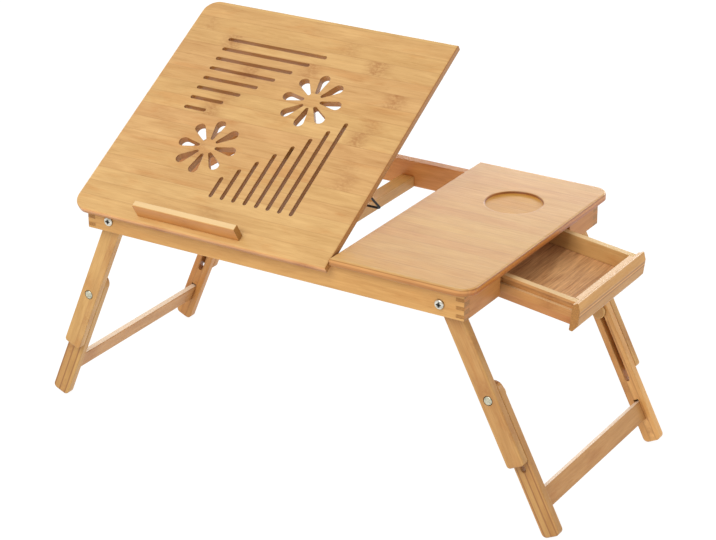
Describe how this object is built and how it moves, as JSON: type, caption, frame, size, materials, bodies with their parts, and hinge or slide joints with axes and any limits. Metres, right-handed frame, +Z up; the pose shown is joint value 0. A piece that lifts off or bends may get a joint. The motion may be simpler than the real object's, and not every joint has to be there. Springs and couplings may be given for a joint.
{
  "type": "laptop stand with drawer",
  "caption": "Folding bamboo laptop stand with a tilting slotted panel, fixed side panel with cup recess, pull-out drawer and telescoping folding legs.",
  "frame": {"origin": "point on the floor under the middle of the 550 by 350 mm top", "axes": "+X along the length of the top, towards the drawer; +Y from the user's side to the back; +Z up"},
  "size_m": [0.7308, 0.3594, 0.4692],
  "materials": {
    "tilting_panel_bamboo": "clear satin varnish",
    "ledge_bamboo": "clear satin varnish",
    "fixed_panel_bamboo": "clear satin varnish",
    "rail_bamboo": "clear satin varnish",
    "end_rail_bamboo": "clear satin varnish",
    "inner_bamboo": "clear satin varnish",
    "centre_bar_bamboo": "clear satin varnish",
    "leg_bamboo": "clear satin varnish",
    "stretcher_bamboo": "clear satin varnish",
    "knob_bamboo": "clear satin varnish",
    "drawer_front_bamboo": "clear satin varnish",
    "drawer_side_bamboo": "clear satin varnish",
    "drawer_bottom_board": "clear satin varnish",
    "black_wire": "black satin paint",
    "zinc_hinge": "zinc plated",
    "screw_steel": "zinc plated",
    "clamp_bolt_steel": "brass-toned zinc plate"
  },
  "bodies": {
    "frame": {"front_rail": "rail_bamboo", "back_rail": "rail_bamboo", "left_end_rail": "end_rail_bamboo", "right_end_rail_front": "end_rail_bamboo", "right_end_rail_back": "end_rail_bamboo", "centre_bar": "centre_bar_bamboo", "drawer_runner_front": "inner_bamboo", "drawer_runner_back": "inner_bamboo", "drawer_divider": "inner_bamboo", "fixed_panel": "fixed_panel_bamboo", "hinge_rail_leaves": "zinc_hinge", "hinge_pins": "zinc_hinge", "hinge_rail_screws": "screw_steel", "pivot_screws": "screw_steel", "pivot_nuts": "screw_steel"},
    "tilting_panel": {"tilting_panel": "tilting_panel_bamboo", "ledge": "ledge_bamboo", "ledge_screws": "screw_steel", "hinge_panel_leaves": "zinc_hinge", "hinge_panel_screws": "screw_steel", "prop_staples": "zinc_hinge"},
    "wire_prop": {"wire_prop": "black_wire"},
    "right_upper_legs": {"right_upper_leg_front": "leg_bamboo", "right_upper_leg_back": "leg_bamboo", "right_clamp_bolts": "clamp_bolt_steel"},
    "right_lower_legs": {"right_lower_leg_front": "leg_bamboo", "right_lower_leg_back": "leg_bamboo", "right_stretcher": "stretcher_bamboo"},
    "right_knob_front": {"right_knob_front": "knob_bamboo"},
    "right_knob_back": {"right_knob_back": "knob_bamboo"},
    "left_upper_legs": {"left_upper_leg_front": "leg_bamboo", "left_upper_leg_back": "leg_bamboo", "left_clamp_bolts": "clamp_bolt_steel"},
    "left_lower_legs": {"left_lower_leg_front": "leg_bamboo", "left_lower_leg_back": "leg_bamboo", "left_stretcher": "stretcher_bamboo"},
    "left_knob_front": {"left_knob_front": "knob_bamboo"},
    "left_knob_back": {"left_knob_back": "knob_bamboo"},
    "drawer_pins": {"drawer_pins": "drawer_side_bamboo"},
    "drawer": {"drawer_front": "drawer_front_bamboo", "drawer_side_front": "drawer_side_bamboo", "drawer_side_back": "drawer_side_bamboo", "drawer_back": "drawer_side_bamboo", "drawer_bottom": "drawer_bottom_board"}
  },
  "joints": [
    {"name": "panel_tilt", "type": "hinge", "parent": "frame", "child": "tilting_panel", "pos_m": [0, -0.159, 0.285], "axis": [1, 0, 0], "range_deg": [-30.5, 10]},
    {"name": "prop_swing", "type": "hinge", "parent": "tilting_panel", "child": "wire_prop", "pos_m": [0.001, -0.04651, 0.35703], "axis": [1, 0, 0], "range_deg": [-24, 71]},
    {"name": "right_legs_fold", "type": "hinge", "parent": "frame", "child": "right_upper_legs", "pos_m": [0.231, 0, 0.2735], "axis": [0, -1, 0], "range_deg": [-109.2, 0]},
    {"name": "right_legs_extend", "type": "slide", "parent": "right_upper_legs", "child": "right_lower_legs", "axis": [0.4462, 0, -0.8949], "range_m": [-0.091, 0.005]},
    {"name": "right_knob_front_turn", "type": "hinge", "parent": "right_upper_legs", "child": "right_knob_front", "pos_m": [0.28678, -0.1256, 0.16163], "axis": [0, 1, 0], "range_deg": [0, 360]},
    {"name": "right_knob_back_turn", "type": "hinge", "parent": "right_upper_legs", "child": "right_knob_back", "pos_m": [0.28678, 0.1256, 0.16163], "axis": [0, -1, 0], "range_deg": [0, 360]},
    {"name": "left_legs_fold", "type": "hinge", "parent": "frame", "child": "left_upper_legs", "pos_m": [-0.231, 0, 0.2735], "axis": [0, 1, 0], "range_deg": [-105.8, 0]},
    {"name": "left_legs_extend", "type": "slide", "parent": "left_upper_legs", "child": "left_lower_legs", "axis": [-0.3955, 0, -0.9184], "range_m": [-0.083, 0.013]},
    {"name": "left_knob_front_turn", "type": "hinge", "parent": "left_upper_legs", "child": "left_knob_front", "pos_m": [-0.28044, -0.1256, 0.15869], "axis": [0, 1, 0], "range_deg": [0, 360]},
    {"name": "left_knob_back_turn", "type": "hinge", "parent": "left_upper_legs", "child": "left_knob_back", "pos_m": [-0.28044, 0.1256, 0.15869], "axis": [0, -1, 0], "range_deg": [0, 360]},
    {"name": "drawer_slide", "type": "slide", "parent": "frame", "child": "drawer_pins", "axis": [1, 0, 0], "range_m": [-0.09, 0]},
    {"name": "drawer_droop", "type": "hinge", "parent": "drawer_pins", "child": "drawer", "pos_m": [0.25585, 0.0041, 0.2746], "axis": [0, 1, 0], "range_deg": [-7.6, 0]}
  ],
  "couplings": [
    {"joint": "prop_swing", "follows": "panel_tilt", "ratio": -2.3}
  ]
}
